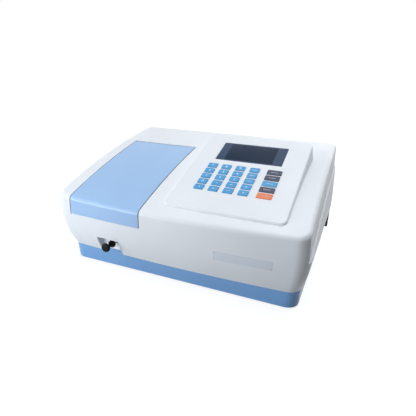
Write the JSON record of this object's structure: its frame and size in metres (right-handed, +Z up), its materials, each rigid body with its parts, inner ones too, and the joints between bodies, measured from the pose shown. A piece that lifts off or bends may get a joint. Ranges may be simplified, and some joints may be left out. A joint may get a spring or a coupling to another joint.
{
  "type": "scanning spectrophotometer",
  "caption": "Bench spectrophotometer with a hinged sample lid, a sloped console of keys and a display, a pull-rod cell carriage and enclosed optics.",
  "frame": {"origin": "centre of the bounding box, on the surface that the feet rest on", "axes": "+X to the instrument's right, +Y to its back, +Z up"},
  "size_m": [0.4888, 0.386, 0.244],
  "materials": {
    "tray_blue": "satin",
    "foot_rubber": "matt",
    "cover_white": "satin",
    "lid_blue": "satin",
    "steel": "brushed",
    "display_glass": "gloss",
    "display_frame": "matt",
    "board_green": "satin",
    "chamber_black": "matt",
    "anodised_black": "matt",
    "knob_black": "gloss",
    "cast_alloy": "as cast",
    "mirror": "polished",
    "motor_case": "satin",
    "sheet_alloy": "brushed",
    "lamp_glass": "clear",
    "panel_grey": "satin",
    "socket_black": "satin",
    "fan_black": "matt",
    "sink_black": "anodised",
    "key_blue": "satin",
    "key_dark": "satin",
    "key_orange": "satin"
  },
  "bodies": {
    "housing": {"base_tray": "tray_blue", "feet": "foot_rubber", "top_cover": "cover_white", "hinge_pins": "steel", "console_window": "display_glass", "lcd_module": "display_frame", "keypad_board": "board_green", "chamber_tray": "chamber_black", "carriage_rails": "steel", "optical_bench": "cast_alloy", "monochromator_housing": "anodised_black", "monochromator_cover": "anodised_black", "fold_mirrors": "mirror", "stepper_motors": "motor_case", "lamp_house": "sheet_alloy", "tungsten_lamp": "lamp_glass", "deuterium_lamp": "lamp_glass", "detector_box": "anodised_black", "main_board": "board_green", "power_supply": "sheet_alloy", "rear_panel": "panel_grey", "power_inlet": "socket_black", "switch_frame": "socket_black", "data_ports": "steel", "fan_frame": "fan_black", "heat_sink": "sink_black"},
    "lid": {"sample_lid": "lid_blue"},
    "carriage": {"cell_carriage": "anodised_black", "pull_rod": "steel", "pull_knob": "knob_black"},
    "rocker": {"power_switch": "socket_black"},
    "fan": {"fan_rotor": "fan_black"},
    "grating": {"grating_table": "anodised_black"},
    "filters": {"filter_wheel": "anodised_black"},
    "turret": {"lamp_mirror": "mirror"},
    "button_row1_col1": {"key_row1_col1": "key_blue"},
    "button_row1_col2": {"key_row1_col2": "key_blue"},
    "button_row1_col3": {"key_row1_col3": "key_blue"},
    "button_row1_col4": {"key_row1_col4": "key_blue"},
    "button_row2_col1": {"key_row2_col1": "key_blue"},
    "button_row2_col2": {"key_row2_col2": "key_blue"},
    "button_row2_col3": {"key_row2_col3": "key_blue"},
    "button_row2_col4": {"key_row2_col4": "key_blue"},
    "button_row3_col1": {"key_row3_col1": "key_blue"},
    "button_row3_col2": {"key_row3_col2": "key_blue"},
    "button_row3_col3": {"key_row3_col3": "key_blue"},
    "button_row3_col4": {"key_row3_col4": "key_blue"},
    "button_row4_col1": {"key_row4_col1": "key_blue"},
    "button_row4_col2": {"key_row4_col2": "key_blue"},
    "button_row4_col3": {"key_row4_col3": "key_blue"},
    "button_row4_col4": {"key_row4_col4": "key_blue"},
    "button_row5_col1": {"key_row5_col1": "key_blue"},
    "button_row5_col2": {"key_row5_col2": "key_blue"},
    "button_row5_col3": {"key_row5_col3": "key_blue"},
    "button_row5_col4": {"key_row5_col4": "key_blue"},
    "button_side1": {"key_side1": "key_dark"},
    "button_side2": {"key_side2": "key_dark"},
    "button_side3": {"key_side3": "key_blue"},
    "button_side4": {"key_side4": "key_dark"},
    "button_side5": {"key_side5": "key_orange"}
  },
  "joints": [
    {"name": "lid_hinge", "type": "hinge", "parent": "housing", "child": "lid", "pos_m": [-0.13, 0.0513, 0.21056], "axis": [-1, 0, 0], "range_deg": [0, 80]},
    {"name": "cell_slide", "type": "slide", "parent": "housing", "child": "carriage", "axis": [0, -1, 0], "range_m": [0, 0.06]},
    {"name": "switch_rock", "type": "hinge", "parent": "housing", "child": "rocker", "pos_m": [-0.084, 0.1695, 0.102], "axis": [1, 0, 0], "range_deg": [0, 16]},
    {"name": "fan_spin", "type": "hinge", "parent": "housing", "child": "fan", "pos_m": [0.104, 0.16, 0.084], "axis": [0, 1, 0], "continuous": true},
    {"name": "grating_turn", "type": "hinge", "parent": "housing", "child": "grating", "pos_m": [0.03, -0.0615, 0.06], "axis": [0, 0, 1], "range_deg": [-35, 35]},
    {"name": "filter_turn", "type": "hinge", "parent": "housing", "child": "filters", "pos_m": [0.092, 0.0635, 0.079], "axis": [1, 0, 0], "continuous": true},
    {"name": "mirror_turn", "type": "hinge", "parent": "housing", "child": "turret", "pos_m": [0.14, 0.0465, 0.06], "axis": [0, 0, 1], "range_deg": [-45, 0]},
    {"name": "key_row1_col1_press", "type": "slide", "parent": "housing", "child": "button_row1_col1", "axis": [0, 0.3665, -0.9304], "range_m": [0, 0.0008], "stiffness_N_per_m": 800},
    {"name": "key_row1_col2_press", "type": "slide", "parent": "housing", "child": "button_row1_col2", "axis": [0, 0.3665, -0.9304], "range_m": [0, 0.0008], "stiffness_N_per_m": 800},
    {"name": "key_row1_col3_press", "type": "slide", "parent": "housing", "child": "button_row1_col3", "axis": [0, 0.3665, -0.9304], "range_m": [0, 0.0008], "stiffness_N_per_m": 800},
    {"name": "key_row1_col4_press", "type": "slide", "parent": "housing", "child": "button_row1_col4", "axis": [0, 0.3665, -0.9304], "range_m": [0, 0.0008], "stiffness_N_per_m": 800},
    {"name": "key_row2_col1_press", "type": "slide", "parent": "housing", "child": "button_row2_col1", "axis": [0, 0.3665, -0.9304], "range_m": [0, 0.0008], "stiffness_N_per_m": 800},
    {"name": "key_row2_col2_press", "type": "slide", "parent": "housing", "child": "button_row2_col2", "axis": [0, 0.3665, -0.9304], "range_m": [0, 0.0008], "stiffness_N_per_m": 800},
    {"name": "key_row2_col3_press", "type": "slide", "parent": "housing", "child": "button_row2_col3", "axis": [0, 0.3665, -0.9304], "range_m": [0, 0.0008], "stiffness_N_per_m": 800},
    {"name": "key_row2_col4_press", "type": "slide", "parent": "housing", "child": "button_row2_col4", "axis": [0, 0.3665, -0.9304], "range_m": [0, 0.0008], "stiffness_N_per_m": 800},
    {"name": "key_row3_col1_press", "type": "slide", "parent": "housing", "child": "button_row3_col1", "axis": [0, 0.3665, -0.9304], "range_m": [0, 0.0008], "stiffness_N_per_m": 800},
    {"name": "key_row3_col2_press", "type": "slide", "parent": "housing", "child": "button_row3_col2", "axis": [0, 0.3665, -0.9304], "range_m": [0, 0.0008], "stiffness_N_per_m": 800},
    {"name": "key_row3_col3_press", "type": "slide", "parent": "housing", "child": "button_row3_col3", "axis": [0, 0.3665, -0.9304], "range_m": [0, 0.0008], "stiffness_N_per_m": 800},
    {"name": "key_row3_col4_press", "type": "slide", "parent": "housing", "child": "button_row3_col4", "axis": [0, 0.3665, -0.9304], "range_m": [0, 0.0008], "stiffness_N_per_m": 800},
    {"name": "key_row4_col1_press", "type": "slide", "parent": "housing", "child": "button_row4_col1", "axis": [0, 0.3665, -0.9304], "range_m": [0, 0.0008], "stiffness_N_per_m": 800},
    {"name": "key_row4_col2_press", "type": "slide", "parent": "housing", "child": "button_row4_col2", "axis": [0, 0.3665, -0.9304], "range_m": [0, 0.0008], "stiffness_N_per_m": 800},
    {"name": "key_row4_col3_press", "type": "slide", "parent": "housing", "child": "button_row4_col3", "axis": [0, 0.3665, -0.9304], "range_m": [0, 0.0008], "stiffness_N_per_m": 800},
    {"name": "key_row4_col4_press", "type": "slide", "parent": "housing", "child": "button_row4_col4", "axis": [0, 0.3665, -0.9304], "range_m": [0, 0.0008], "stiffness_N_per_m": 800},
    {"name": "key_row5_col1_press", "type": "slide", "parent": "housing", "child": "button_row5_col1", "axis": [0, 0.3665, -0.9304], "range_m": [0, 0.0008], "stiffness_N_per_m": 800},
    {"name": "key_row5_col2_press", "type": "slide", "parent": "housing", "child": "button_row5_col2", "axis": [0, 0.3665, -0.9304], "range_m": [0, 0.0008], "stiffness_N_per_m": 800},
    {"name": "key_row5_col3_press", "type": "slide", "parent": "housing", "child": "button_row5_col3", "axis": [0, 0.3665, -0.9304], "range_m": [0, 0.0008], "stiffness_N_per_m": 800},
    {"name": "key_row5_col4_press", "type": "slide", "parent": "housing", "child": "button_row5_col4", "axis": [0, 0.3665, -0.9304], "range_m": [0, 0.0008], "stiffness_N_per_m": 800},
    {"name": "key_side1_press", "type": "slide", "parent": "housing", "child": "button_side1", "axis": [0, 0.3665, -0.9304], "range_m": [0, 0.0008], "stiffness_N_per_m": 800},
    {"name": "key_side2_press", "type": "slide", "parent": "housing", "child": "button_side2", "axis": [0, 0.3665, -0.9304], "range_m": [0, 0.0008], "stiffness_N_per_m": 800},
    {"name": "key_side3_press", "type": "slide", "parent": "housing", "child": "button_side3", "axis": [0, 0.3665, -0.9304], "range_m": [0, 0.0008], "stiffness_N_per_m": 800},
    {"name": "key_side4_press", "type": "slide", "parent": "housing", "child": "button_side4", "axis": [0, 0.3665, -0.9304], "range_m": [0, 0.0008], "stiffness_N_per_m": 800},
    {"name": "key_side5_press", "type": "slide", "parent": "housing", "child": "button_side5", "axis": [0, 0.3665, -0.9304], "range_m": [0, 0.0008], "stiffness_N_per_m": 800}
  ]
}
